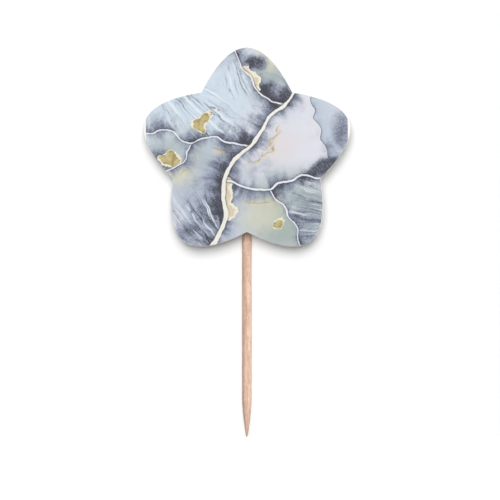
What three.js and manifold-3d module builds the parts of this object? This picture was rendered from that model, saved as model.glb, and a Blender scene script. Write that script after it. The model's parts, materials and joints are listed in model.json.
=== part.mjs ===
// Cupcake pick: a die-cut card star with five round petals, glued near the top of a
// pointed round wooden pick.
//
// Sizes are in millimetres, with +Z up along the pick. The origin is the pick's lower
// point, the one that goes into the cake. The card's printed front faces -Y, and its
// plain back, with the glue and the upper part of the pick, faces +Y.

import * as THREE from 'three';
import Module from 'manifold-3d';
import { mergeVertices } from 'three/addons/utils/BufferGeometryUtils.js';

// Pick: a round birch stick, turned to a point at both ends
const pickLength = 65;
const pickDiameter = 2;
const lowerPointLength = 7.1;
const upperPointLength = 5.5;
const pointFullness = 0.62; // power by which a point widens: 1 is a cone, less is rounder
const pickSides = 32;
const pointRings = 10;

// Star card
const petalCount = 5;
const petalReach = 21.5; // from the star's centre to the crown of a petal
const notchReach = 15.45; // from the star's centre to the notch between two petals
const cardThickness = 0.5;
const cutEdgeRound = 0.1; // how far the cut edge is rounded over, front and back
const cutEdgeSteps = 2;
const petalSteps = 24;

// Where the pick lies on the card's back
const pickBehindCard = 23.7; // length of pick above the star's bottom notch
const glueFilm = 0.3; // glue pressed thin between the pick and the card
const bondGap = 0.05; // clearance between the pick and the glue that beds it

// Glue bead: hot-melt squeezed along the pick, with blunt ends and soft lumps
const beadWidth = 5.6;
const beadHeight = 1.9;
const beadAboveNotch = 2.2;
const beadBelowTop = 3.5; // from the bead's upper end to the pick's upper point
const beadEndFullness = 3.2; // 2 makes the outline an ellipse, more makes blunter ends
const beadLumps = 2.5;
const beadLumpShare = 0.09; // how much a lump swells the bead, as a share of its size
const beadRings = 26;
const beadArcSteps = 14;

const pickRadius = pickDiameter / 2;
const cardBackY = -(pickRadius + glueFilm);
const bottomNotchZ = pickLength - pickBehindCard;
const starCentreZ = bottomNotchZ + notchReach;

const wasm = await Module();
wasm.setup();

const paper = new THREE.MeshStandardMaterial({
  name: 'printed_card',
  color: '#bcc3d0',
  roughness: 0.62,
  metalness: 0,
});

const birch = new THREE.MeshStandardMaterial({
  name: 'birch_wood',
  color: '#dcb799',
  roughness: 0.75,
  metalness: 0,
});

const hotMelt = new THREE.MeshStandardMaterial({
  name: 'hot_melt_glue',
  color: '#eee8d6',
  roughness: 0.3,
  metalness: 0,
});

// Closed solid of a three.js geometry, with its doubled vertices merged
function toSolid(geometry) {
  const bare = geometry.clone();
  bare.deleteAttribute('normal');
  bare.deleteAttribute('uv');
  const merged = mergeVertices(bare);
  return new wasm.Manifold(new wasm.Mesh({
    numProp: 3,
    vertProperties: merged.attributes.position.array,
    triVerts: new Uint32Array(merged.index.array),
  }));
}

function toGeometry(solid) {
  const { vertProperties, triVerts } = solid.getMesh();
  const geometry = new THREE.BufferGeometry();
  geometry.setAttribute('position', new THREE.BufferAttribute(vertProperties, 3));
  geometry.setIndex(new THREE.BufferAttribute(triVerts, 1));
  geometry.computeVertexNormals();
  return geometry;
}

// One end of the pick as [radius, height] pairs, from the point to the full radius.
// The radius grows as a power of the distance from the point, which gives the slightly
// bulging taper of a turned stick. The steps get shorter towards the point.
function pointProfile(length, extraRadius) {
  const profile = [];
  for (let ring = 0; ring <= pointRings; ring += 1) {
    const share = (ring / pointRings) ** 2;
    const radius = pickRadius * share ** pointFullness;
    const swollen = ring === 0 ? 0 : radius + extraRadius;
    profile.push([swollen, length * share]);
  }
  return profile;
}

// Whole pick, turned about its axis. A swollen copy of it cuts the glue's channel.
function pickGeometry(extraRadius = 0) {
  const lower = pointProfile(lowerPointLength, extraRadius)
    .map(([radius, height]) => new THREE.Vector2(radius, height - extraRadius));
  const upper = pointProfile(upperPointLength, extraRadius)
    .map(([radius, height]) => new THREE.Vector2(radius, pickLength + extraRadius - height))
    .reverse();
  const geometry = new THREE.LatheGeometry([...lower, ...upper], pickSides);
  geometry.rotateX(Math.PI / 2);
  return geometry;
}

function starPoint(reach, angle) {
  return new THREE.Vector2(reach * Math.sin(angle), reach * Math.cos(angle));
}

// Star outline. A petal is one quadratic curve from notch to notch, so its crown is at
// the curve's middle when the control point lies as far outside it as the notches' own
// chord lies inside.
function starShape() {
  const halfPetal = Math.PI / petalCount;
  const controlReach = 2 * petalReach - notchReach * Math.cos(halfPetal);
  const shape = new THREE.Shape();
  const start = starPoint(notchReach, -halfPetal);
  shape.moveTo(start.x, start.y);
  for (let petal = 0; petal < petalCount; petal += 1) {
    const angle = 2 * halfPetal * petal;
    const control = starPoint(controlReach, angle);
    const notch = starPoint(notchReach, angle + halfPetal);
    shape.quadraticCurveTo(control.x, control.y, notch.x, notch.y);
  }
  return shape;
}

// Card, cut from sheet. Its back is at y = 0 before it is placed.
function cardGeometry() {
  const geometry = new THREE.ExtrudeGeometry(starShape(), {
    depth: cardThickness - 2 * cutEdgeRound,
    bevelThickness: cutEdgeRound,
    bevelSize: cutEdgeRound,
    bevelOffset: -cutEdgeRound,
    bevelSegments: cutEdgeSteps,
    curveSegments: petalSteps,
  });
  geometry.translate(0, 0, cutEdgeRound);
  geometry.rotateX(Math.PI / 2);
  return geometry;
}

// Share of the bead's full size at a place along it, from 0 at one end to 1 at the other
function beadShare(place) {
  const fromMiddle = Math.abs(2 * place - 1);
  const end = (1 - fromMiddle ** beadEndFullness) ** (1 / beadEndFullness);
  const lump = 1 - beadLumpShare * (1 - Math.cos(2 * Math.PI * beadLumps * place)) / 2;
  return end * lump;
}

// Bead before the pick is pressed in: half-elliptic arches on the card's back, one after
// the other, closed by a point at each end. The rings lie closer together at the ends.
function beadGeometry(startZ, endZ) {
  const ringSize = beadArcSteps + 1;
  const positions = [0, cardBackY, startZ];
  for (let ring = 1; ring <= beadRings; ring += 1) {
    const place = (1 - Math.cos(Math.PI * ring / (beadRings + 1))) / 2;
    const share = beadShare(place);
    for (let step = 0; step < ringSize; step += 1) {
      const angle = Math.PI * step / beadArcSteps;
      positions.push(
        beadWidth / 2 * share * Math.cos(angle),
        cardBackY + beadHeight * share * Math.sin(angle),
        startZ + (endZ - startZ) * place,
      );
    }
  }
  positions.push(0, cardBackY, endZ);
  const lastPoint = positions.length / 3 - 1;
  const index = [];
  for (let step = 0; step < ringSize; step += 1) {
    const next = (step + 1) % ringSize;
    index.push(0, 1 + next, 1 + step);
    for (let ring = 0; ring < beadRings - 1; ring += 1) {
      const here = 1 + ring * ringSize;
      const above = here + ringSize;
      index.push(here + step, here + next, above + next);
      index.push(here + step, above + next, above + step);
    }
    const top = 1 + (beadRings - 1) * ringSize;
    index.push(top + step, top + next, lastPoint);
  }
  const geometry = new THREE.BufferGeometry();
  geometry.setAttribute('position', new THREE.Float32BufferAttribute(positions, 3));
  geometry.setIndex(index);
  return geometry;
}

function makeCard() {
  const card = new THREE.Mesh(cardGeometry(), paper);
  card.name = 'printed_card';
  card.position.set(0, cardBackY, starCentreZ);
  return card;
}

function makePick() {
  const pick = new THREE.Mesh(pickGeometry(), birch);
  pick.name = 'wooden_pick';
  return pick;
}

// The pick lies in a channel along the bead, with a thin film of glue left under it and
// its back standing clear of the glue's two lips.
function makeBead() {
  const startZ = bottomNotchZ + beadAboveNotch;
  const endZ = pickLength - beadBelowTop;
  const bead = toSolid(beadGeometry(startZ, endZ));
  const channel = toSolid(pickGeometry(bondGap));
  const glue = new THREE.Mesh(toGeometry(bead.subtract(channel)), hotMelt);
  glue.name = 'glue_bead';
  return glue;
}

const group = new THREE.Group();
group.add(makeCard(), makePick(), makeBead());

export default group;
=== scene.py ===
# %% [markdown]
# A cupcake pick: a star with five round petals, die-cut from white card with a marbled print,
# and glued near the top of a pointed birch stick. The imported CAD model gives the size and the
# place of its three pieces. Its solids are faceted, so each piece gets a finer twin here: a
# surface worked out with numpy from the same measures, with its finish made of shader nodes.

# %% Load the CAD model
import json
from functools import partial

import bpy
import numpy as np
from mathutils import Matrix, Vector


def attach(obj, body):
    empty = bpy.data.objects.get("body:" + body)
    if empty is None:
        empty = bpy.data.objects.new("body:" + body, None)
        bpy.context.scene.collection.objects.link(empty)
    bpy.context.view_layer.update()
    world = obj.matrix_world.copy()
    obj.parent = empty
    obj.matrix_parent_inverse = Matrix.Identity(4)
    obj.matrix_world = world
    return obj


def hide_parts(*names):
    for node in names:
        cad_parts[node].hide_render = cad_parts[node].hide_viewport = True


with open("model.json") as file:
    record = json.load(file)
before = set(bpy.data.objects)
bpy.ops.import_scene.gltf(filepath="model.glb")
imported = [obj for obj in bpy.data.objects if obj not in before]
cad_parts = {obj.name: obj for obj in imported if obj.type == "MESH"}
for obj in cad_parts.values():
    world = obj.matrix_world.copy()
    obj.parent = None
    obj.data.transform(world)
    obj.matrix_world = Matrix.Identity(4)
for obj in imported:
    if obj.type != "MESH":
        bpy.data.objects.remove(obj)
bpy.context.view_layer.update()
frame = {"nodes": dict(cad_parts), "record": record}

mm = 0.001

# %% [markdown]
# The measures come from the solids, so that each twin fits its piece. On the flat cut edge, the
# farthest points are the petals' crowns and the nearest are the notches. The stick is at its
# full radius from the end of one turned point to the start of the other.

# %% Measures of the card
def solid_points(node):
    """The corners of a CAD solid, in mm, as rows of x, y and z."""
    vertices = frame["nodes"][node].data.vertices
    found = np.empty(len(vertices) * 3)
    vertices.foreach_get("co", found)
    return found.reshape(-1, 3) / mm


card_mount = next(m for m in frame["record"]["mounts"] if m["name"] == "card_front")
star_x, card_front, star_z = np.array(card_mount["pos_m"]) / mm
card_points = solid_points("printed_card")
card_back = card_points[:, 1].max()
card_thickness = card_back - card_front
on_edge = np.abs(card_points[:, 1] - (card_front + card_back) / 2) < card_thickness / 3
edge_reach = np.hypot(card_points[:, 0] - star_x, card_points[:, 2] - star_z)[on_edge]
petal_reach, notch_reach = edge_reach.max(), edge_reach.min()
petals = 5
print(f"card {card_thickness:.2f} mm thick, crown {petal_reach:.2f}, notch {notch_reach:.2f} mm")

# %% Measures of the pick and the glue
pick_points = solid_points("wooden_pick")
pick_length = np.ptp(pick_points[:, 2])
pick_radius = pick_points[:, 0].max()
full = np.hypot(pick_points[:, 0], pick_points[:, 1]) > 0.999 * pick_radius
lower_point = pick_points[full, 2].min()
upper_point = pick_length - pick_points[full, 2].max()
bead_points = solid_points("glue_bead")
bead_start, bead_end = bead_points[:, 2].min(), bead_points[:, 2].max()
print(f"pick {pick_length:.1f} mm long, points {lower_point:.1f} and {upper_point:.1f} mm")
print(f"glue from {bead_start:.1f} to {bead_end:.1f} mm")

# %% [markdown]
# The photograph looks straight at the print through a long lens, with hardly any perspective.
# At the card's face it shows 5 pixels to the millimetre, so its 500 pixels span 100 mm. The
# camera's place follows from where the pick's axis and point lie in the picture. The pick
# stands a little behind the face, so a pixel spans slightly more there.

# %% Camera at the photograph's view
frame_pixels = 500
pixels_per_mm = 5.0
pick_axis_pixel = 246.85
pick_point_pixel = 437.5
view_width = frame_pixels / pixels_per_mm

lens = bpy.data.cameras.new("camera")
lens.lens = 120
lens.sensor_width = 36
camera_distance = view_width * lens.lens / lens.sensor_width
mm_per_pixel_at_pick = (camera_distance - card_front) / camera_distance / pixels_per_mm
camera_x = (frame_pixels / 2 - pick_axis_pixel) * mm_per_pixel_at_pick
camera_z = (pick_point_pixel - frame_pixels / 2) * mm_per_pixel_at_pick
camera = bpy.data.objects.new("camera", lens)
camera.location = Vector((camera_x, card_front - camera_distance, camera_z)) * mm
camera.rotation_euler = (np.pi / 2, 0, 0)
bpy.context.collection.objects.link(camera)
bpy.context.scene.camera = camera
print(f"camera {camera_distance:.0f} mm before the card")

# %% [markdown]
# Every surface is a grid of points, and neighbours in it are joined to faces. A mesh takes the
# points, the faces and any numbers that belong to the points. Its object stays at the origin. A
# closed piece's volume comes out right only when all its faces point outwards, so it is printed.

# %% Grids to meshes
def quads(numbers):
    """Four-sided faces between the rows and columns of a grid of point numbers."""
    corners = numbers[:-1, :-1], numbers[1:, :-1], numbers[1:, 1:], numbers[:-1, 1:]
    return np.stack(corners, axis=-1).reshape(-1, 4)


def ring_quads(numbers):
    """Faces between rows that close on themselves: the first column follows the last."""
    return quads(np.hstack([numbers, numbers[:, :1]]))


def fan(pole, ring):
    """Three-sided faces from one point to each side of a closed ring."""
    return np.stack([np.full(len(ring), pole), ring, np.roll(ring, -1)], axis=-1)


def tube(rings, poles):
    """Points and faces of a closed tube: a grid of rings, and a point that closes each end."""
    numbers = np.arange(rings.shape[0] * rings.shape[1]).reshape(rings.shape[:2])
    start, end = numbers.size, numbers.size + 1
    faces = [ring_quads(numbers)[:, ::-1], fan(start, numbers[0])[:, ::-1], fan(end, numbers[-1])]
    return np.vstack([rings.reshape(-1, 3), poles]), faces


def volume_inside(points, faces):
    """The number of triangles, and a sixth of the sum of a . (b x c) over their corners, as seen
    from the first point."""
    corners = np.vstack([part[:, [0, k - 1, k]] for part in faces for k in range(2, part.shape[1])])
    a, b, c = (points[corners] - points[0]).swapaxes(0, 1)
    return len(corners), np.einsum("ij,ij->i", a, np.cross(b, c)).sum() / 6


def make_piece(name, points, faces, finishes, finish_of_face=None, values=None):
    """A mesh object from points in mm and lists of faces, smooth all over.
    values holds numbers that belong to the points: one column each, or three for a vector."""
    mesh = bpy.data.meshes.new(name)
    mesh.from_pydata((points * mm).tolist(), [], [face for part in faces for face in part.tolist()])
    mesh.polygons.foreach_set("use_smooth", np.ones(len(mesh.polygons), bool))
    for finish in finishes:
        mesh.materials.append(finish)
    if finish_of_face is not None:
        mesh.polygons.foreach_set("material_index", finish_of_face.astype(np.int32))
    for title, numbers in (values or {}).items():
        kind, field = ("FLOAT_VECTOR", "vector") if numbers.ndim == 2 else ("FLOAT", "value")
        layer = mesh.attributes.new(title, kind, "POINT")
        layer.data.foreach_set(field, numbers.astype(np.float32).ravel())
    mesh.validate()
    mesh.update()
    made = bpy.data.objects.new(name, mesh)
    bpy.context.collection.objects.link(made)
    count, volume = volume_inside(points, faces)
    print(f"{name}: {count} triangles, {volume:.1f} cubic mm")
    return made


# %% [markdown]
# Colours are written as the hex values that a paint program shows. Blender's nodes work in
# linear light, so one function turns them. Another adds a node: its settings are properties, and
# its inputs are plain values, hex colours or the outputs of earlier nodes.

# %% Colours and nodes
def linear(code):
    """Linear red, green, blue and alpha of a hex colour, by the sRGB curve."""
    srgb = np.array([int(code[start:start + 2], 16) for start in (1, 3, 5)]) / 255
    return (*np.where(srgb <= 0.04045, srgb / 12.92, ((srgb + 0.055) / 1.055) ** 2.4), 1.0)


def add(tree, kind, inputs=(), give=None, **settings):
    """Adds a node and returns its output named give, or its first. inputs holds what goes into
    the sockets, in their order or by their names."""
    made = tree.nodes.new("ShaderNode" + kind)
    for name, value in settings.items():
        setattr(made, name, value)
    sockets = [socket for socket in made.inputs if socket.enabled]
    if isinstance(inputs, dict):
        sockets = [next(socket for socket in sockets if socket.name == name) for name in inputs]
        inputs = inputs.values()
    for socket, value in zip(sockets, inputs):
        if isinstance(value, bpy.types.NodeSocket):
            tree.links.new(value, socket)
        else:
            socket.default_value = linear(value) if isinstance(value, str) else value
    shown = [socket for socket in made.outputs if socket.enabled]
    return next((socket for socket in shown if socket.name == give), shown[0] if shown else None)


def new_finish(name, kind=bpy.data.materials):
    """An empty material, or world, and the function above at work on its nodes."""
    finish = kind.new(name)
    finish.use_nodes = True
    finish.node_tree.nodes.clear()
    return finish, partial(add, finish.node_tree)


# A range is mapped with no kink at its ends. A noise takes its place, one over the size of its
# lumps, its detail and roughness, how much finer each layer is than the last, and its distortion
smooth = {"interpolation_type": "SMOOTHSTEP"}
finer = 2.0
print("middle grey in linear light:", round(linear("#808080")[0], 3))

# %% [markdown]
# The star's outline is five curves, each a quadratic from notch to notch, as on the cutting die.
# Putting a ray from the centre into the curve's equation leaves a quadratic for the reach. The
# face of the card is a square grid carried onto a disc, ring by ring, and then stretched to the
# star, which spreads the cells evenly and leaves no pole in the middle of the print.

# %% Outline of the star
def star_reach(angle):
    """Reach of the outline in a direction, as an angle from the upper crown, clockwise.
    With a as the angle from the nearest crown, X the notch's half chord, C the crown's reach and
    D the crown's height over the chord: D sin(a)^2 / X^2 r^2 + cos(a) r - C = 0."""
    petal_turn = 2 * np.pi / petals
    a = angle - petal_turn * np.round(angle / petal_turn)
    half_chord = notch_reach * np.sin(petal_turn / 2)
    height = petal_reach - notch_reach * np.cos(petal_turn / 2)
    bend = np.maximum(height * np.sin(a) ** 2 / half_chord ** 2, 1e-9)
    return (np.sqrt(np.cos(a) ** 2 + 4 * bend * petal_reach) - np.cos(a)) / (2 * bend)


def star_normal(angle):
    """Outward direction across the outline, from the slope of the reach. It halves the notches."""
    step = 0.004
    reach = star_reach(angle)
    slope = (star_reach(angle + step) - star_reach(angle - step)) / (2 * step)
    along_x = slope * np.sin(angle) + reach * np.cos(angle)
    along_z = slope * np.cos(angle) - reach * np.sin(angle)
    size = np.hypot(along_x, along_z)
    return -along_z / size, along_x / size


def disc_grid(cells):
    """A square grid carried onto the unit disc: the larger coordinate becomes the radius, and
    the ratio of the two the angle within a quarter."""
    side = np.linspace(-1, 1, cells + 1)
    s, t = np.meshgrid(side, side, indexing="ij")
    wide = np.abs(s) >= np.abs(t)
    radius = np.where(wide, s, t)
    ratio = np.where(wide, t, s) / np.where(radius == 0, 1, radius)
    angle = np.where(wide, ratio * np.pi / 4, np.pi / 2 - ratio * np.pi / 4)
    return radius * np.cos(angle), radius * np.sin(angle)


print(f"reach at a crown {star_reach(np.array(0.0)):.2f}, at a notch "
      f"{star_reach(np.array(np.pi / petals)):.2f} mm")

# %% [markdown]
# Card of half a millimetre is never quite flat. It was cut from the print side, so the rim is
# rounded over and the petals lean a little to the back. The lean is a smooth function of the
# place, which the face, the rim, the back and the glue share.

# %% Shape of the card
face_cells = 240
edge_round = 0.05
rim_steps = 3
back_rings = 14
petal_lean = 0.22
edge_fray = 0.012


def card_lean(x, z):
    """How far the card stands back from its flat, in mm: it grows with the square of the distance
    from the centre, and one side leans more than the other."""
    reach, angle = np.hypot(x, z), np.arctan2(x, z)
    return petal_lean * (reach / petal_reach) ** 2 * (0.75 + 0.25 * np.sin(angle + 0.8))


def card_points_at(share, angle, inset, depth):
    """Points of the card at a share of the way out, set in from the outline and behind the face."""
    normal_x, normal_z = star_normal(angle)
    pull = inset * share ** 30
    reach = share * star_reach(angle)
    x = reach * np.sin(angle) - pull * normal_x
    z = reach * np.cos(angle) - pull * normal_z
    y = card_front + depth + card_lean(x, z)
    return np.stack([star_x + x, y, star_z + z], axis=-1)


disc_x, disc_z = disc_grid(face_cells)
face_share = np.hypot(disc_x, disc_z)
face_angle = np.arctan2(disc_x, disc_z)
face = card_points_at(face_share, face_angle, edge_round, 0)
face_numbers = np.arange(face_share.size).reshape(face_share.shape)
rim = np.concatenate([face_numbers[:-1, 0], face_numbers[-1, :-1],
                      face_numbers[:0:-1, -1], face_numbers[0, :0:-1]])
rim_angle = face_angle.ravel()[rim]
print(f"face of {face_numbers.size} points, rim of {len(rim)}")

# %% Rim and back of the card
turn = np.linspace(0, np.pi / 2, rim_steps + 1)
over_x, over_y = edge_round * (1 - np.sin(turn)), edge_round * (1 - np.cos(turn))
side_depth = np.linspace(edge_round, card_thickness - edge_round, rim_steps + 1)[1:-1]
rim_inset = np.concatenate([over_x[1:], 0 * side_depth, over_x[::-1]])
rim_depth = np.concatenate([over_y[1:], side_depth, card_thickness - over_y[::-1]])
fray = edge_fray * (1 + np.sin(rim_angle * 311 + rim_depth[:, None] * 40)
                    * np.sin(rim_angle * 83 + 1)) / 2
fray = fray * np.sin(np.pi * rim_depth / card_thickness)[:, None]
rim_rows = card_points_at(1.0, rim_angle[None, :], rim_inset[:, None] + fray, rim_depth[:, None])
back_share = np.linspace(1, 0, back_rings + 1)[1:-1, None]
back_rows = card_points_at(back_share, rim_angle[None, :], edge_round, card_thickness)
middle = card_points_at(0.0, np.zeros(1), edge_round, card_thickness)
row_count = len(rim_rows) + len(back_rows)
row_numbers = face_numbers.size + np.arange(row_count * len(rim)).reshape(row_count, -1)
rows = np.vstack([rim[None, :], row_numbers])
pole = face_numbers.size + row_numbers.size
card_shape = np.vstack([face.reshape(-1, 3), rim_rows.reshape(-1, 3),
                        back_rows.reshape(-1, 3), middle])
card_faces = [quads(face_numbers), ring_quads(rows), fan(pole, rows[-1])[:, ::-1]]
print(f"card of {len(card_shape)} points")

# %% [markdown]
# The print is marbled ink: a watery wash of greys and blues, dark ink that has run along pale
# veins, streaks combed through the wet ink, and flecks of gold. No stencil gives such shapes, so
# they are built up from noise: random slopes on a lattice, blended smoothly and added in finer
# and finer layers. In numpy the noise is the same every time, and one field can steer another.

# %% Noise
def scatter(column, row, seed):
    """A number from 0 to 1 for each lattice point, by mixing the bits of its two numbers."""
    bits = 0xFFFFFFFF
    mixed = (column.astype(np.int64) * 374761393 + row.astype(np.int64) * 668265263
             + seed * 974634777) & bits
    mixed = ((mixed ^ (mixed >> 13)) * 1274126177) & bits
    mixed = ((mixed ^ (mixed >> 16)) * 2246822519) & bits
    return ((mixed ^ (mixed >> 15)) & 0xFFFFFF) / 0x1000000


def noise(x, y, seed):
    """Smooth noise of about -1 to 1: each lattice point has a slope in a random direction, and
    the four slopes round a place are blended."""
    column, row = np.floor(x), np.floor(y)
    u, v = x - column, y - row
    blend_u, blend_v = u ** 3 * (u * (u * 6 - 15) + 10), v ** 3 * (v * (v * 6 - 15) + 10)

    def slope(right, up):
        angle = 2 * np.pi * scatter(column + right, row + up, seed)
        return np.cos(angle) * (u - right) + np.sin(angle) * (v - up)

    low = slope(0, 0) * (1 - blend_u) + slope(1, 0) * blend_u
    high = slope(0, 1) * (1 - blend_u) + slope(1, 1) * blend_u
    return 1.5 * (low * (1 - blend_v) + high * blend_v)


def layers(x, y, size, count, seed):
    """Noise with lumps of this size in mm, and finer layers, each half the size and strength."""
    total = sum(noise(x * 2 ** k / size, y * 2 ** k / size, seed + 17 * k) / 2 ** k
                for k in range(count))
    return total / (2 - 2.0 ** (1 - count))


def ease(low, high, value):
    """Rises smoothly from 0 to 1 as the value goes from low to high, which may lie either way."""
    share = np.clip((value - low) / (high - low), 0, 1)
    return share * share * (3 - 2 * share)


# The print's own coordinates: mm from the star's centre, to the right and up
px = (face[..., 0] - star_x).ravel()
pz = (face[..., 2] - star_z).ravel()
print(f"noise over the print: {layers(px, pz, 5, 4, 3).std():.2f} around zero")

# %% [markdown]
# Veins are smooth lines through a few points. The nodes get each place's distance from a line,
# with a sign for its side, and so draw an edge as crisp as the render. The line's own width goes
# along as a second number, and the ink's depth as a third. The distance is measured from a place
# that noise has nudged, so the line wanders like one that was left free by ink.

# %% Lines in the ink
def smooth_line(points, steps=20):
    """A curve through the points, where each stretch heads as its two neighbours lie."""
    p = np.array(points, float)
    p = np.vstack([2 * p[0] - p[1], p, 2 * p[-1] - p[-2]])
    t = np.linspace(0, 1, steps, endpoint=False)[:, None, None]
    a, b, c, d = p[:-3], p[1:-2], p[2:-1], p[3:]
    curve = (2 * b + (c - a) * t + (2 * a - 5 * b + 4 * c - d) * t ** 2
             + (3 * b - a - 3 * c + d) * t ** 3) / 2
    return np.vstack([curve.transpose(1, 0, 2).reshape(-1, 2), p[-2:-1]])


def measure_line(x, y, line):
    """Distance of each place from a line of short stretches, positive to the left of its course,
    and how far along the line its nearest spot lies."""
    starts, runs = line[:-1], np.diff(line, axis=0)
    lengths = np.hypot(*runs.T)
    begins = np.concatenate([[0], np.cumsum(lengths)[:-1]])
    nearest, along = np.full(x.shape, np.inf), np.zeros(x.shape)
    side = np.ones(x.shape)
    for start, run, length, begin in zip(starts, runs, lengths, begins):
        across_x, across_y = x - start[0], y - start[1]
        share = np.clip((across_x * run[0] + across_y * run[1]) / length ** 2, 0, 1)
        gap = np.hypot(across_x - share * run[0], across_y - share * run[1])
        closer = gap < nearest
        nearest = np.where(closer, gap, nearest)
        along = np.where(closer, begin + share * length, along)
        side = np.where(closer, np.sign(run[0] * across_y - run[1] * across_x), side)
    return nearest * side, along


wander, wander_size = 0.32, 3.1
tremble, tremble_size = 0.06, 0.9


def nudge(wander_seed, tremble_seed):
    """A push in mm, of slow wander and quick trembling."""
    quick = noise(px / tremble_size, pz / tremble_size, tremble_seed)
    return wander * layers(px, pz, wander_size, 2, wander_seed) + tremble * quick


nudged_x, nudged_z = px + nudge(11, 5), pz + nudge(29, 6)
print(f"lines wander by up to {np.abs(nudged_x - px).max():.2f} mm")

# %% Courses of the veins
# Half width at the start and at the end, then points from the star's centre, all in mm
line_courses = {
    "vein_main": (0.20, 0.46, [
        (11.9, 16.8), (9.3, 12.2), (7.6, 10), (4.6, 7.8), (2.9, 4.6), (0.6, 1.7), (-2.4, -1),
        (-4.3, -4.6), (-4.7, -8.4), (-4.1, -12), (-5.4, -15.6), (-8.4, -20.8)]),
    "vein_left": (0.17, 0.12, [
        (0.8, 1.5), (-1.8, 2.3), (-4.4, 2.5), (-6.1, 3.6), (-8.9, 3.3), (-11, 2.3), (-13.2, 2.9),
        (-14.9, 4.6), (-17.4, 4.8), (-19.1, 4.1), (-23, 4.6)]),
    "vein_fork": (0.13, 0.10, [
        (-10.8, 2.6), (-12, 0.8), (-12.2, -1), (-13.8, -2.2), (-15.4, -3), (-18.5, -4)]),
    "vein_right": (0.22, 0.15, [
        (-4.4, -5.2), (-2.6, -5.5), (0, -6.7), (2.4, -7), (4.6, -6.8), (6.4, -5.7), (8.8, -5.3),
        (11.2, -4), (14.2, -4.7), (18.5, -4.2)]),
    "vein_twig": (0.14, 0.10, [
        (4.5, -6.5), (5.5, -8.7), (7.6, -10.2), (8.2, -12.4), (9.9, -14.4), (10.3, -17),
        (11.6, -20)]),
    "vein_top": (0.15, 0.11, [
        (7.6, 10), (5.2, 10.6), (3.2, 11.8), (1.6, 13.6), (0.9, 15.4), (-0.8, 17), (-1.6, 19),
        (-3.4, 22.5)]),
    "hair_line": (0.07, 0.05, [
        (13.2, 12.8), (12.8, 10.6), (13.7, 9), (13.3, 7.2), (14.7, 5.4), (14.8, 3.2), (16.1, 1.6),
        (16.4, -0.6), (17.4, -2.8), (17.2, -6)]),
}
run_in, cut_short = 0.1, 0.3
lines = {}
for number, (name, (wide_start, wide_end, course)) in enumerate(line_courses.items()):
    distance, along = measure_line(nudged_x, nudged_z, smooth_line(course))
    half_width = wide_start + (wide_end - wide_start) * along / along.max()
    swell = 1 + noise(along / 2.6, 0, 800 + number) * np.minimum(0.05 / half_width, 0.4)
    # Places before the line's start have it as their nearest spot too: the width goes below nought
    begun = ease(0, run_in, along)
    lines[name] = distance, along, half_width * swell * begun - cut_short * (1 - begun)
    print(f"{name}: {along.max():.0f} mm long")

# %% [markdown]
# The watery wash: on a lavender grey, broad pools of ice blue, sage and blue grey bleed into
# each other. A pool is a turned ellipse whose rim is broken up by noise and fades softly. A vein
# parts two pools, so some tints lie on one side of a line only and fade with the distance.

# %% Wash
def ellipse_reach(place, half_size, turn):
    """1 on the rim of a turned ellipse, less inside it and more outside."""
    c, s = np.cos(np.radians(turn)), np.sin(np.radians(turn))
    u, v = px - place[0], pz - place[1]
    return np.hypot((c * u + s * v) / half_size[0], (c * v - s * u) / half_size[1])


def pool_reach(place, half_size, turn, seed, size=5.0):
    """The same with a rim that is broken up by noise."""
    return ellipse_reach(place, half_size, turn) + 0.3 * layers(px, pz, size, 4, seed)


def pool(place, half_size, turn, softness, seed, size=5.0):
    """1 inside an uneven ellipse and 0 outside it, with a soft rim."""
    return ease(1 + softness, 1 - softness, pool_reach(place, half_size, turn, seed, size))


def beside(name, side, reach):
    """1 on one side of a line and 0 on the other: it fades as e to the minus distance squared."""
    distance = side * lines[name][0]
    return np.where(distance > 0, np.exp(-(distance / reach) ** 2), 0)


def tint(under, code, share):
    """The colours under, mixed with a hex colour by a share for each point."""
    return under + (np.array(linear(code)[:3]) - under) * np.clip(share, 0, 1)[:, None]


lavender, ice, sage, dusk, mist = "#d7d8e1", "#c8d6e1", "#9fada8", "#a3b0c2", "#d8d9e1"
straw, rose = "#d9d6be", "#dccdca"
wash = np.tile(linear(lavender)[:3], (px.size, 1))
for number, (code, place, half_size, turned, softness, share) in enumerate((
    (ice, (-12, 9), (12, 9), 0, 0.6, 0.95),
    (ice, (-4, 15), (7, 8), 0, 0.6, 0.8),
    (sage, (8, -12), (8.5, 8), 30, 0.7, 1.0),
    (sage, (-15, -1), (8, 4.8), 10, 0.7, 0.85),
    (sage, (4.5, 16.5), (4.4, 4.6), 0, 0.8, 0.85),
    (dusk, (-8, -9), (8, 9), 0, 0.7, 0.8),
    (mist, (9, 3.5), (8, 6.4), 10, 0.5, 0.9),
    (straw, (3.2, -11.8), (4.4, 3.4), 20, 0.8, 0.55),
    (straw, (-13.8, -4.0), (3.4, 2.0), 0, 0.8, 0.7),
    (rose, (7.0, 1.6), (3.4, 2.6), 40, 0.8, 0.4),
    (straw, (4.2, 19.0), (2.6, 2.0), -20, 0.8, 0.7),
)):
    wash = tint(wash, code, share * pool(place, half_size, turned, softness, 31 + number))
for name, side, reach, code, share in (
    ("hair_line", 1, 4.5, "#b3bfce", 0.85), ("vein_top", 1, 3.0, "#c3ccd8", 0.6),
    ("vein_fork", -1, 3.0, "#b9c2cb", 0.7), ("vein_twig", 1, 4.0, "#b7c3ca", 0.7),
):
    wash = tint(wash, code, share * beside(name, side, reach))
print("mean wash, linear:", wash.mean(0).round(2))

# %% [markdown]
# Dark ink lies deepest along the veins, on one side more than the other, and thins out away from
# them. It has crept into the wet wash in fine feathers that stand square to the vein: noise
# that is short along the vein and long across it. Some ink stands in pools, which dry with a
# darker rim.

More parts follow.
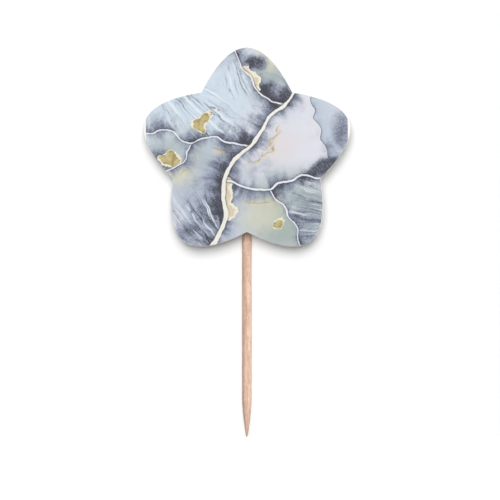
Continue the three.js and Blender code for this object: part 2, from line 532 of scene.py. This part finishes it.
# %% Dark ink
def ink_beside(name, side, reach, depth, seed):
    """Depth of ink on one side of a vein: it fades with the distance by e to the minus x to the
    power 1.3, over a reach that varies along the vein."""
    distance, along, _ = lines[name]
    away = np.maximum(side * distance, 0)
    amount = 0.55 + 0.6 * noise(along / 3.6, seed, seed) + 0.3 * noise(along / 1.3, 0, seed + 1)
    feathers = 0.34 * noise(along / 0.42, away / 2.6, seed + 3)
    feathers = feathers + 0.4 * layers(px, pz, 2.0, 4, seed + 5)
    fade = reach * np.maximum(0.3 + np.clip(amount, 0, 1.2) + feathers, 0.12)
    held = depth * np.clip(0.25 + amount, 0.15, 1.1) * np.exp(-(away / fade) ** 1.3)
    return np.where(side * distance > 0, held, 0)


warp_x, warp_z = 2 * layers(px, pz, 6, 3, 71), 2 * layers(px, pz, 6, 3, 72)
clouds = layers(px + warp_x, pz + warp_z, 7, 5, 73)
ink = 0.26 * ease(-0.05, 0.6, clouds)
for number, (name, side, reach, depth) in enumerate((
    ("vein_main", -1, 3.2, 1.05), ("vein_main", 1, 1.5, 0.75),
    ("vein_left", 1, 1.2, 0.55), ("vein_left", -1, 2.3, 0.85),
    ("vein_fork", 1, 1.3, 0.75), ("vein_fork", -1, 0.8, 0.5),
    ("vein_right", -1, 2.0, 0.9), ("vein_right", 1, 1.0, 0.6),
    ("vein_top", 1, 1.0, 0.5), ("vein_top", -1, 1.9, 0.85),
    ("vein_twig", 1, 1.9, 0.75), ("vein_twig", -1, 0.8, 0.4),
    ("hair_line", 1, 0.9, 0.28),
)):
    ink = ink + ink_beside(name, side, reach, depth, 101 + 20 * number)
for number, (place, half_size, turned, softness, depth) in enumerate((
    ((15.6, -2.4), (3.6, 1.5), 25, 0.55, 0.95), ((1.9, 18.2), (1.9, 1.3), -20, 0.5, 0.75),
    ((-7.4, -11.4), (4.4, 2.8), 40, 0.9, 0.5), ((4.0, 12.9), (2.4, 2.0), 0, 0.9, 0.4),
    ((13.2, -11.6), (2.8, 3.8), 0, 0.9, 0.35), ((-11.8, -15.2), (2.0, 1.3), 20, 0.9, 0.4),
    ((-17.2, -0.4), (2.4, 1.4), -15, 0.8, 0.5), ((19.2, 5.4), (2.0, 3.2), 0, 0.9, 0.6),
)):
    reach = pool_reach(place, half_size, turned, 301 + number, size=2.6)
    ink = ink + depth * ease(1 + softness, 1 - softness, reach)
    ink = ink + 0.12 * np.exp(-((reach - 1 - softness * 0.8) / 0.07) ** 2)
print(f"ink depth from {ink.min():.2f} to {ink.max():.2f}, mean {ink.mean():.2f}")

# %% [markdown]
# Where a comb was drawn through the wet wash, streaks run from the place where it was held up to
# a vein. The mesh keeps the streaks' own coordinates: how far a place is across the strokes and
# how far along them, both in mm. The nodes then draw strokes as fine as they like.

# %% Combed streaks
comb = np.zeros((px.size, 3))
for number, (held_at, place, half_size, turned, name, side) in enumerate((
    ((-23.0, 21.0), (-10.5, 9.6), (8.6, 5.2), -32, "vein_left", -1),
    ((2.0, -30.0), (-10.2, -12.8), (5.4, 5.4), 0, "vein_main", -1),
    ((28.0, -14.0), (13.6, -11.2), (4.4, 5.8), 10, "vein_twig", 1),
    ((-7.0, 30.0), (-1.8, 14.6), (2.6, 3.6), 0, "vein_top", 1),
)):
    bent_x = px + 0.7 * layers(px, pz, 4.2, 3, 401 + number)
    bent_z = pz + 0.7 * layers(px, pz, 4.2, 3, 421 + number)
    u, v = bent_x - held_at[0], bent_z - held_at[1]
    spread = np.hypot(place[0] - held_at[0], place[1] - held_at[1])
    area = pool(place, half_size, turned, 0.5, 441 + number, size=4.0)
    area = area * ease(-0.1, 0.5, side * lines[name][0])
    stroke = np.stack([np.arctan2(v, u) * spread + 50 * number, np.hypot(u, v), area], axis=-1)
    comb = np.where((area > comb[:, 2])[:, None], stroke, comb)
print(f"streaks over {np.mean(comb[:, 2] > 0.1) * 100:.0f} % of the print")

# %% [markdown]
# Gold leaf lies in torn flakes on a cream size, which shows round the leaf as an uneven rim. A
# flake is an ellipse whose edge is pushed in and out by noise, coarse for the torn shape and
# fine for the crumbs. Gold ink has also dried in thin tide lines, along the rims of pools.

# %% Gold leaf
def flake(place, half_size, turn, seed):
    """About the distance in mm from the edge of a torn flake, negative on the flake."""
    torn = 1.25 * layers(px, pz, 2.6, 2, seed) + 0.5 * np.abs(layers(px, pz, 1.1, 4, seed + 9))
    return (ellipse_reach(place, half_size, turn) - 1) * min(half_size) + torn


def film(name, side, begin, end, width, seed):
    """The same distance for cream that has settled along one side of a line, between two lengths
    from the line's start, as wide as a noise lets it."""
    distance, along, _ = lines[name]
    settled = ease(begin, begin + 1.5, along) * ease(end, end - 1.5, along)
    spread = width * (0.5 + 0.75 * noise(along / 2.7, 0, seed))
    spread = spread * settled - 1.2 * (1 - settled)
    near = side * distance + 0.75 * layers(px, pz, 1.7, 4, seed + 1)
    return np.where(side * distance > -0.2, np.maximum(near - spread, begin - along), 5)


leaf_edge = np.minimum.reduce([
    flake((-15.6, -0.7), (2.5, 1.7), 14, 701),
    flake((-8.8, 6.6), (2.6, 1.5), 38, 706),
    flake((6.6, -13.4), (1.2, 0.9), 12, 705),
])
film_edge = np.minimum(film("vein_main", 1, 26.0, 38.5, 3.1, 716),
                       film("vein_top", -1, 5.0, 13.0, 2.6, 714))
size_rim = 0.22 + 0.5 * layers(px, pz, 1.5, 2, 721)
gold = np.stack([np.minimum(leaf_edge, film_edge), leaf_edge + np.maximum(size_rim, 0.05),
                 film_edge + 0.45 + 0.6 * layers(px, pz, 1.2, 3, 731)], axis=-1)
print(f"gold and cream over {np.mean(gold[:, 0] < 0) * 100:.1f} % of the print")

# %% Tide lines of gold ink
tide = np.tile([9.0, 0.0, 0.0], (px.size, 1))
for number, (name, side, begin, end, offset) in enumerate((
    ("vein_main", 1, 10.0, 24.0, 2.7), ("vein_main", 1, 12.5, 22.0, 3.3),
    ("vein_right", -1, 3.5, 11.5, 2.6), ("vein_left", 1, 3.0, 9.0, 2.3),
    ("vein_fork", 1, 1.5, 7.5, 1.8),
)):
    distance, along, _ = lines[name]
    shore = offset + 0.75 * noise(along / 2.3, 0, 641 + number)
    shore = shore + 0.55 * layers(px, pz, 1.3, 3, 651 + number)
    left = ease(begin, begin + 3, along) * ease(end, end - 3, along)
    left = left * ease(-0.45, 0.15, noise(along / 1.7, 5, 661 + number))
    half_width = 0.09 + 0.12 * noise(px / 0.8, pz / 0.8, 671 + number)
    line = np.stack([side * distance - shore, half_width, left], axis=-1)
    nearer = (side * distance > 0) & (np.abs(line[:, 0]) < np.abs(tide[:, 0])) & (left > 0)
    tide = np.where(nearer[:, None], line, tide)
print(f"gold ink over {np.mean((np.abs(tide[:, 0]) < tide[:, 1]) * tide[:, 2]) * 100:.1f} %")

# %% [markdown]
# The numbers go onto the face's points, and the nodes turn them into ink. One of them is the
# distance from the cut edge, where the ink has chipped off and the white card shows.

# %% Card mesh with its print
reach_left = (1 - face_share) * star_reach(face_angle)
normal_x, normal_z = star_normal(face_angle)
lean_in = np.abs(np.sin(face_angle) * normal_x + np.cos(face_angle) * normal_z)
print_fields = {"wash": wash, "ink": ink, "comb": comb, "gold": gold, "tide": tide,
                "cut_edge": (reach_left * lean_in).ravel()}
for name, (distance, _, half_width) in lines.items():
    print_fields[name] = np.stack([distance, half_width, np.clip(ink, 0, 1)], axis=-1)
# The points of the rim and the back have noughts
other_count = len(card_shape) - px.size
for name, numbers in print_fields.items():
    noughts = np.zeros((other_count, *numbers.shape[1:]))
    print_fields[name] = np.concatenate([numbers, noughts])
print(f"{len(print_fields)} fields on the card")

# %% [markdown]
# The printed face is coated board: the ink sits in a thin satin coat over a fine tooth of paper.
# The nodes first make the wash, then darken it by the ink's depth through slate and charcoal to
# near black. Pigment settles in specks, so a fine noise shakes the depth. Gold, cream and veins
# are laid over it in the order in which they hide each other. Each is a stain that comes in
# smoothly as some value passes from one level to another.

# %% Finish: marbled print on satin card
def stained(node, colour, *stains):
    """A colour with others laid over it in turn. A stain is a colour, the value that it follows,
    the levels of that value where the stain begins and is full, and its full strength."""
    for stain, value, begins, full, strength in stains:
        share = node("MapRange", (value, begins, full, 0.0, strength), **smooth)
        colour = node("Mix", (share, colour, stain), data_type="RGBA")
    return colour


def parts_of(node, title):
    """The three numbers that an attribute of the mesh carries."""
    field = node("Attribute", give="Vector", attribute_name=title)
    return node("SeparateXYZ", (field,)).node.outputs


marbled_print, node = new_finish("marbled_print_on_satin_card")
place = node("TexCoord", give="Object")
specks, fibres, blots = (
    node("TexNoise", (place, 1 / (size * mm), detail, rough, finer, bend))
    for size, detail, rough, bend in (
        (0.30, 3.0, 0.6, 0.0), (0.55, 4.0, 0.65, 0.6), (1.7, 5.0, 0.6, 0.8))
)
colour = node("Attribute", give="Vector", attribute_name="wash")
ink_depth = node("Attribute", give="Fac", attribute_name="ink")

# Streaks: pale strokes, and hairs of ink where a stretched noise passes its middle
comb_at = node("Attribute", give="Vector", attribute_name="comb")
comb_share = parts_of(node, "comb")["Z"]
strokes, hairs = (
    node("TexNoise", (node("Mapping", {"Vector": comb_at, "Scale": (1.0, along, 0.0)}),
                      1 / width, detail, rough, finer, bend))
    for width, along, detail, rough, bend in (
        (0.85, 0.075, 3.0, 0.6, 0.35), (1.4, 0.06, 1.0, 0.5, 0.8))
)
off_hair = node("Math", (hairs, 0.5), operation="SUBTRACT")
off_hair = node("Math", (off_hair,), operation="ABSOLUTE")
pale, drawn, shaded = (
    node("Math", (node("MapRange", (value, begins, full, 0.0, strength), **smooth), comb_share),
         operation="MULTIPLY")
    for value, begins, full, strength in (
        (strokes, 0.50, 0.66, 0.85), (off_hair, 0.03, 0.0, 0.42), (strokes, 0.44, 0.30, 0.30))
)
inked = node("Math", (1.0, pale), operation="SUBTRACT")
ink_depth = node("Math", (ink_depth, inked, drawn), operation="MULTIPLY_ADD")
ink_depth = node("Math", (ink_depth, shaded), operation="ADD")
colour = node("Mix", (pale, colour, "#e0e8ee"), data_type="RGBA")

pigment = node("MapRange", (specks, 0.3, 0.7, 0.76, 1.24), **smooth)
clouding = node("MapRange", (blots, 0.3, 0.7, -0.05, 0.06), **smooth)
shaken = node("Math", (ink_depth, pigment, clouding), operation="MULTIPLY_ADD")
colour = stained(node, colour, ("#767e92", shaken, 0.0, 0.62, 0.92),
                 ("#40424f", shaken, 0.45, 1.0, 1.0), ("#2b2c36", shaken, 1.0, 1.3, 0.8))
print("wash and ink:", len(marbled_print.node_tree.nodes), "nodes")

# %% Gold and veins over the ink
def beyond(node, value, limit):
    """How far a value lies beyond a limit, to either side of nought."""
    size = node("Math", (value,), operation="ABSOLUTE")
    return node("Math", (size, limit), operation="SUBTRACT")


tide = parts_of(node, "tide")
soaked = node("MapRange", (tide["X"], 1.2, 0.05, 0.0, 0.5), **smooth)
soaked = node("Math", (soaked, tide["Z"]), operation="MULTIPLY")
settled = node("Math", (tide["Z"], 0.85), operation="MULTIPLY")
tide_gap = beyond(node, tide["X"], tide["Y"])

gold = parts_of(node, "gold")
crumbs = node("MapRange", (specks, 0.3, 0.7, -0.09, 0.09), **smooth)
size_gap, leaf_gap, film_gap = (
    node("Math", (gold[axis], crumbs), operation="ADD") for axis in "XYZ")
leaf_tone = stained(node, "#9c8d58", ("#c1b383", blots, 0.38, 0.62, 1.0))
film_tone = stained(node, "#cfc2a2", ("#d9cab4", blots, 0.4, 0.6, 1.0))
colour = stained(
    node, colour,
    ("#d9cda8", tide["X"], -0.2, 0.0, soaked), ("#ab9261", tide_gap, 0.10, -0.08, settled),
    ("#4a4b56", size_gap, 0.5, 0.02, ink_depth), ("#e6e1cf", size_gap, 0.06, -0.05, 1.0),
    (film_tone, film_gap, 0.10, -0.25, 0.9), (leaf_tone, leaf_gap, 0.07, -0.10, 1.0),
)

ragged = node("MapRange", (specks, 0.3, 0.7, -0.03, 0.03), **smooth)
for name in reversed(lines):
    line = parts_of(node, name)
    gap = node("Math", (beyond(node, line["X"], line["Y"]), ragged), operation="ADD")
    if name == "hair_line":
        colour = stained(node, colour, ("#4c4e5c", gap, 0.09, -0.03, 0.75))
        continue
    lip = node("MapRange", (line["Z"], 0.15, 0.9, 0.075, 0.75), **smooth)
    white, shade = ("#e9e8e0", "#dcd8c9") if name == "vein_main" else ("#e2e4ea", "#cfd2d8")
    body = stained(node, white, (shade, blots, 0.42, 0.7, 0.5))
    colour = stained(node, colour, ("#41424e", gap, 0.38, 0.03, lip), (body, gap, 0.045, -0.045, 1.0))
print("with gold and veins:", len(marbled_print.node_tree.nodes), "nodes")

# %% Bare edges, coat and tooth of the printed face
def surface(node, colour, roughness, height, depth, push, others):
    """Ends a finish: relief from a height, as deep as this in mm, on a body with this colour,
    this roughness and the other numbers."""
    relief = node("Bump", {"Height": height, "Strength": push, "Distance": depth * mm})
    body = node("BsdfPrincipled", {"Base Color": colour, "Roughness": roughness,
                                   "Normal": relief, **others})
    node("OutputMaterial", {"Surface": body})
    print(f"surface with relief of {depth} mm")


sheet_half_width = 20.2
past_sheet = beyond(node, node("SeparateXYZ", (place,), give="X"), sheet_half_width * mm)
chips = node("MapRange", (specks, 0.45, 0.7, -0.03, 0.05), **smooth)
chipped = node("Attribute", give="Fac", attribute_name="cut_edge")
chipped = node("Math", (chipped, chips), operation="SUBTRACT")
bare = node("Math", (node("MapRange", (chipped, 0.03, -0.03), **smooth),
                     node("MapRange", (past_sheet, -0.04 * mm, 0.04 * mm), **smooth)),
            operation="MAXIMUM")
colour = node("Mix", (bare, colour, "#f6f5f1"), data_type="RGBA")
gloss = node("MapRange", (fibres, 0.3, 0.7, 0.50, 0.60), **smooth)
gloss = node("Math", (bare, 0.25, gloss), operation="MULTIPLY_ADD")
tooth = node("Math", (specks, 0.5, fibres), operation="MULTIPLY_ADD")
fibre_body = {"IOR": 1.5, "Specular IOR Level": 0.3}
surface(node, colour, gloss, tooth, depth=0.012, push=0.35, others=fibre_body)

# %% [markdown]
# The back and the cut edge are the bare board: off white, matt, with short fibres and a few
# greyer flecks of recycled pulp. The cut edge shows the layers that the board was couched in.

# %% Finish: bare white card
bare_card, node = new_finish("uncoated_white_card")
place = node("TexCoord", give="Object")
edgewise = node("Mapping", {"Vector": place, "Scale": (0.6, 14.0, 0.6)})
felt, fleck, plies = (
    node("TexNoise", (at, 1 / (size * mm), detail, rough, finer, bend))
    for at, size, detail, rough, bend in (
        (place, 0.9, 6.0, 0.7, 1.2), (place, 0.35, 2.0, 0.5, 0.0), (edgewise, 1.0, 3.0, 0.5, 0.0))
)
colour = stained(node, "#f4f3ee", ("#ecebe5", felt, 0.35, 0.7, 1.0),
                 ("#dcd9d0", plies, 0.45, 0.75, 0.35), ("#b9b6ad", fleck, 0.70, 0.76, 0.35))
height = node("Math", (fleck, 0.4, felt), operation="MULTIPLY_ADD")
surface(node, colour, 0.88, height, depth=0.02, push=0.5, others=fibre_body)

# %% Printed card
face_count = face_cells ** 2
side_count = sum(len(part) for part in card_faces) - face_count
finish_of_face = np.concatenate([np.zeros(face_count), np.ones(side_count)])
printed_card = make_piece("star_card", card_shape, card_faces, [marbled_print, bare_card],
                          finish_of_face, print_fields)

# %% [markdown]
# The pick is a cocktail stick: birch, turned round and ground to a point at both ends. Its radius
# grows from a point by a power of the distance, which gives the slightly full taper. The turning
# leaves fine grooves along the grain, deepest where a vessel was torn open, so the surface is a
# grid of angles and heights whose radius is drawn in by stretched noise.

# %% Shape of the pick
point_fullness = 0.62
pick_sides = 96
pick_rings = 460
groove_depth = 0.022
grain_round = 4.2
least_reach = 0.01


def pick_reach(z):
    """Radius of the pick at a height: the share of the way up a point, to a power, times the
    full radius."""
    near_end = np.minimum(z / lower_point, (pick_length - z) / upper_point)
    return pick_radius * np.clip(near_end, 0, 1) ** point_fullness


height = pick_length * (1 - np.cos(np.pi * np.linspace(0, 1, pick_rings + 2)[1:-1])) / 2
height = height[:, None]
round_angle = (2 * np.pi * np.arange(pick_sides) / pick_sides)[None, :]
grain_u, grain_v = np.cos(round_angle) * grain_round, np.sin(round_angle) * grain_round
groove = noise(grain_u * 2.3 + 0.02 * height, grain_v * 2.3 + height / 9, 901)
groove = groove + 0.6 * noise(grain_u * 4.1 + 7, grain_v * 4.1 + height / 5, 902)
tear = ease(0.35, 0.8, noise(grain_u * 3.1 + 3, grain_v * 3.1 + height / 2.5, 903))
drawn_in = groove_depth * (0.25 * (1 + np.clip(groove, -1, 1)) + 0.9 * tear)
reach = np.maximum(pick_reach(height) * (1 - drawn_in / pick_radius), least_reach)
pick_rows = np.stack([reach * np.sin(round_angle), -reach * np.cos(round_angle),
                      height + 0 * round_angle], axis=-1)
blunt = height.min() / 2
pick_shape, pick_faces = tube(pick_rows, [[0, 0, blunt], [0, 0, pick_length - blunt]])
print(f"pick of {len(pick_shape)} points")

# %% [markdown]
# Birch is pale and even, pinkish straw to the eye, with short darker dashes where the vessels
# were cut. It gets darker and warmer up the stick. Its left side is painted darker and greyer:
# painted shade, on the side away from the lamp on the right. Noise that is stretched along the
# stick makes the grain, and finer noises, stretched less, make the dashes and the pale flecks
# between them. Ground wood is matt, and its loose fibres give a faint sheen.

# %% Finish: ground birch
birch, node = new_finish("ground_birch")
place = node("TexCoord", give="Object")
grain, patches, dashes, flecks = (
    node("TexNoise", (node("Mapping", {"Vector": place, "Scale": (1.0, 1.0, stretch)}),
                      1 / (size * mm), detail, rough, finer, bend))
    for size, stretch, detail, rough, bend in (
        (0.42, 0.07, 6.0, 0.62, 0.4), (1.5, 0.22, 4.0, 0.6, 0.0),
        (0.26, 0.22, 3.0, 0.55, 0.0), (0.34, 0.5, 3.0, 0.6, 0.0))
)
spot = node("SeparateXYZ", (place,)).node.outputs
# Painted shade: the stick's left side is darkened and greyed, with a border that noise makes uneven
uneven = node("MapRange", (patches, 0.3, 0.7, -0.35 * mm, 0.35 * mm), **smooth)
painted_shade_left = node("Math", (spot["X"], uneven), operation="ADD")
colour = stained(
    node, "#efcfb9",
    ("#d3ad99", grain, 0.34, 0.66, 1.0), ("#bd8d7c", spot["Z"], 6 * mm, 40 * mm, 0.14),
    ("#c7a28a", patches, 0.4, 0.75, 0.45), ("#bd9f92", painted_shade_left, -0.1 * mm, -0.95 * mm, 0.15),
    ("#f6dfce", flecks, 0.52, 0.68, 0.5), ("#a98470", dashes, 0.56, 0.70, 0.5),
)
roughness = node("MapRange", (grain, 0.3, 0.7, 0.68, 0.82), **smooth)
pores = node("Math", (dashes, -0.7, grain), operation="MULTIPLY_ADD")
surface(node, colour, roughness, pores, depth=0.03, push=0.6,
        others={**fibre_body, "Sheen Weight": 0.4, "Sheen Roughness": 0.4})

# %% Birch pick
birch_pick = make_piece("birch_pick", pick_shape, pick_faces, [birch])

# %% [markdown]
# On the back a bead of hot-melt glue holds the stick. The stick was pressed in while the glue was
# soft, so it rose round the stick. A cross-section is half an ellipse on the card with the
# stick's circle taken out of it. The lip, where the two meet, is found by halving an interval.

# %% Shape of the glue bead
bead_width, bead_height = 5.6, 1.9
bead_end_fullness = 3.2
bead_lumps, bead_lump_share = 2.5, 0.09
bead_rings = 150
arch_steps, channel_steps, base_steps = 34, 40, 16
wetting = 0.012
least_channel = 0.06


def bead_share(place):
    """Share of the bead's full section along it: blunt at both ends, with soft lumps between."""
    from_middle = np.abs(2 * place - 1)
    blunt = (1 - from_middle ** bead_end_fullness) ** (1 / bead_end_fullness)
    return blunt * (1 - bead_lump_share * (1 - np.cos(2 * np.pi * bead_lumps * place)) / 2)


place_along = (1 - np.cos(np.pi * np.linspace(0, 1, bead_rings + 2)[1:-1, None])) / 2
bead_z = bead_start + (bead_end - bead_start) * place_along
share = bead_share(place_along)
wave = 1 + 0.06 * noise(bead_z / 2.2, 0, 951)
half_width = np.minimum(bead_width / 2 * share * wave, bead_width / 2)
arch_height = bead_height * share
ground = card_back + card_lean(0, bead_z - star_z)
circle = pick_reach(bead_z) + wetting


def arch_point(angle):
    """Point of the arch over the card: half an ellipse, from the right foot to the left."""
    return half_width * np.cos(angle), ground + arch_height * np.sin(angle)


low, high = 0 * bead_z, np.pi / 2 + 0 * bead_z
for _ in range(40):
    halfway = (low + high) / 2
    outside = np.hypot(*arch_point(halfway)) > circle
    low, high = np.where(outside, halfway, low), np.where(outside, high, halfway)
low = np.minimum(low, np.pi / 2 - least_channel)
lip_x, lip_y = arch_point(low)
lip_angle = np.arctan2(lip_x, -lip_y)
print(f"lip up to {lip_y.max():.2f} mm, {np.degrees(lip_angle.max()):.0f} degrees round the pick")

# %% Glue mesh
right_arch = low * np.linspace(0, 1, arch_steps)
from_lip = np.linspace(1, -1, channel_steps)[1:-1]
round_pick = lip_angle * from_lip
touching = np.hypot(lip_x, lip_y) < 1.01 * circle
channel = np.where(touching, (circle * np.sin(round_pick), -circle * np.cos(round_pick)),
                   arch_point(np.pi / 2 - (np.pi / 2 - low) * from_lip))
base_x = half_width * np.linspace(-1, 1, base_steps)[1:-1]
section_x, section_y = np.concatenate([
    arch_point(right_arch), channel, arch_point(np.pi - right_arch[:, ::-1]),
    (base_x, ground + 0 * base_x),
], axis=2)
bead_rows = np.stack([section_x, section_y, bead_z + 0 * section_x], axis=-1)
bead_poles = np.array([[0, card_back, bead_start], [0, card_back, bead_end]])
bead_poles[:, 1] += card_lean(0, bead_poles[:, 2] - star_z)
bead_shape, bead_faces = tube(bead_rows, bead_poles)
print(f"glue of {len(bead_shape)} points")

# %% [markdown]
# Hot-melt glue is a milky, slightly yellow plastic. Light goes a little way into it, which
# scattering below the surface shows, and its skin is smooth with a soft gloss and faint ripples.

# %% Finish: hot-melt glue
hot_melt, node = new_finish("milky_hot_melt")
place = node("TexCoord", give="Object")
ripples, haze = (
    node("TexNoise", (place, 1 / (size * mm), detail, 0.5, finer, bend))
    for size, detail, bend in ((1.4, 2.0, 0.8), (0.8, 4.0, 0.0))
)
colour = stained(node, "#f4eadb", ("#ebdfcb", haze, 0.3, 0.7, 1.0))
roughness = node("MapRange", (haze, 0.3, 0.7, 0.26, 0.38), **smooth)
surface(node, colour, roughness, ripples, depth=0.12, push=0.5,
        others={"IOR": 1.48, "Subsurface Weight": 0.35, "Subsurface Scale": 0.8 * mm,
                "Subsurface Radius": (1.0, 0.8, 0.65)})
glue_bead = make_piece("hot_melt_bead", bead_shape, bead_faces, [hot_melt])

# %% [markdown]
# The pick stands with its point on a white floor, before a white backdrop that its back just
# touches, as a topper lies on white paper when it is photographed from above. Both take the
# object's shadow. Where they are seen, by the camera or in a gloss, they have a little light of
# their own, so they come out white where no shadow falls. Neither lights the object, and the
# backdrop lets the camera through from behind.

# %% Floor and backdrop
# In mm: half the paper's width, where its own light begins to take over and has taken over
paper_half = 2000.0
near, far = 90.0, 260.0
behind_pick = 0.02


def seen_directly(node):
    """1 for rays from the camera, off a gloss or through something clear, and 0 for the rest."""
    ray = node("LightPath").node.outputs
    mirrored = node("Math", (ray["Is Glossy Ray"], ray["Is Transmission Ray"]), operation="MAXIMUM")
    return node("Math", (ray["Is Camera Ray"], mirrored), operation="MAXIMUM")


def ground_finish(name, own_light, one_sided):
    """White paper: matt, with some light of its own where it is seen directly, which takes over
    far from the object, where the lamps don't reach."""
    finish, node = new_finish(name)
    place = node("TexCoord", give="Object")
    away = node("VectorMath", (place,), give="Value", operation="LENGTH")
    seen = seen_directly(node)
    faint = node("Emission", {"Strength": node("Math", (seen, own_light), operation="MULTIPLY")})
    lit = node("AddShader", (node("BsdfDiffuse", {"Color": "#ffffff"}), faint))
    distant = node("MapRange", (away, near * mm, far * mm, 0.0, seen), **smooth)
    face = node("MixShader", (distant, lit, node("Emission", {"Strength": 1.0})))
    if one_sided:
        behind = node("NewGeometry", give="Backfacing")
        face = node("MixShader", (behind, face, node("BsdfTransparent")))
    node("OutputMaterial", {"Surface": face})
    return finish


def ground_plane(name, finish, start, end, unseen_by):
    """A flat face between two edges that run to the right, each given by its y and z in mm. The
    named kinds of ray pass by it."""
    corners = np.array([(-paper_half, *start), (paper_half, *start),
                        (paper_half, *end), (-paper_half, *end)])
    plane = make_piece(name, corners, [np.array([[0, 1, 2, 3]])], [finish])
    for kind in unseen_by:
        setattr(plane, "visible_" + kind, False)
    return plane


backdrop_y = pick_radius + behind_pick
floor = ground_plane("floor", ground_finish("white_floor", own_light=0.47, one_sided=False),
                     (-paper_half, 0), (paper_half, 0), ("diffuse", "shadow"))
backdrop = ground_plane("backdrop",
                        ground_finish("white_backdrop", own_light=0.085, one_sided=True),
                        (backdrop_y, 0), (backdrop_y, paper_half),
                        ("diffuse", "shadow", "glossy", "transmission"))
print(f"backdrop {backdrop_y:.2f} mm behind the pick's axis")

# %% [markdown]
# The key light is soft and stands above the camera, so it throws the star's shadow down on the
# paper. In the photograph the star shades the pick as far down as it shades the paper behind, so
# about half of the pick's light comes from higher up. Only the star throws a shadow here: the
# paper beside the pick is clean. A weak lamp on the right models the round stick, and is flagged
# off from the paper, where it would fill the shadow. The rest comes evenly from a white surround.
# The shares on a piece add up to about one, so a surface that faces the camera gets its own
# colour. A lamp behind does this for the back.

# %% Lamps and surround
lamp_distance = 3000.0


def soft_lamp(name, left, up, spread, share, lit=(), shading=()):
    """A square lamp, placed by its degrees to the left of the camera's side and upwards, whose
    face looks as wide as the spread in degrees. share is its part in the brightness of a white
    surface that faces the camera, or away from it for a lamp behind:
    power = share (pi distance)^2 / (cos(up) cos(left) cos(spread / 2)^2).
    All is lit and all throws shadows, unless lit or shading names the pieces that do."""
    left, up, spread = np.radians((left, up, spread))
    way = Vector((-np.sin(left) * np.cos(up), -np.cos(left) * np.cos(up), np.sin(up)))
    data = bpy.data.lights.new(name, "AREA")
    data.size = 2 * lamp_distance * np.tan(spread / 2) * mm
    slant = abs(np.cos(up) * np.cos(left)) * np.cos(spread / 2) ** 2
    data.energy = share * (np.pi * lamp_distance * mm) ** 2 / slant
    lamp = bpy.data.objects.new(name, data)
    lamp.location = (Vector((0, card_front, star_z)) + way * lamp_distance) * mm
    lamp.rotation_euler = way.to_track_quat("Z", "Y").to_euler()
    bpy.context.collection.objects.link(lamp)
    for part, title, pieces in (("receiver", "_lights", lit), ("blocker", "_is_shaded_by", shading)):
        if pieces:
            chosen = bpy.data.collections.new(name + title)
            for piece in pieces:
                chosen.objects.link(piece)
            setattr(lamp.light_linking, part + "_collection", chosen)
    return lamp


key_side = {"left": 5, "up": 25, "spread": 48, "shading": [printed_card]}
soft_lamp("key_light", **key_side, share=0.37)
soft_lamp("star_light", **key_side, share=0.48, lit=[printed_card, glue_bead, floor, backdrop])
soft_lamp("pick_light", left=5, up=60, spread=20, share=0.48, lit=[birch_pick],
          shading=[printed_card])
soft_lamp("side_light", left=-80, up=5, spread=26, share=0.10,
          lit=[printed_card, birch_pick, glue_bead])
back_light = soft_lamp("back_light", left=160, up=35, spread=40, share=0.80)
# The light from behind stops at the first surface, so none goes round by the card to the paper
back_light.data.cycles.max_bounces = 0

surround_level = 0.13
surround, node = new_finish("white_surround", bpy.data.worlds)
strength = node("MapRange", (seen_directly(node), 0.0, 1.0, surround_level, 1.0), **smooth)
white = node("Background", {"Color": "#ffffff", "Strength": strength})
node("OutputWorld", {"Surface": white})
bpy.context.scene.world = surround
bpy.context.scene.view_settings.view_transform = "Standard"

# %% [markdown]
# Each twin rides on the one rigid body and stands for its CAD solid, which is hidden.

# %% Tie the pieces to the CAD model
for piece, slot, node in (
    (printed_card, "printed_card", "printed_card"),
    (birch_pick, "birch_wood", "wooden_pick"),
    (glue_bead, "hot_melt_glue", "glue_bead"),
):
    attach(piece, "root")
    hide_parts(node)
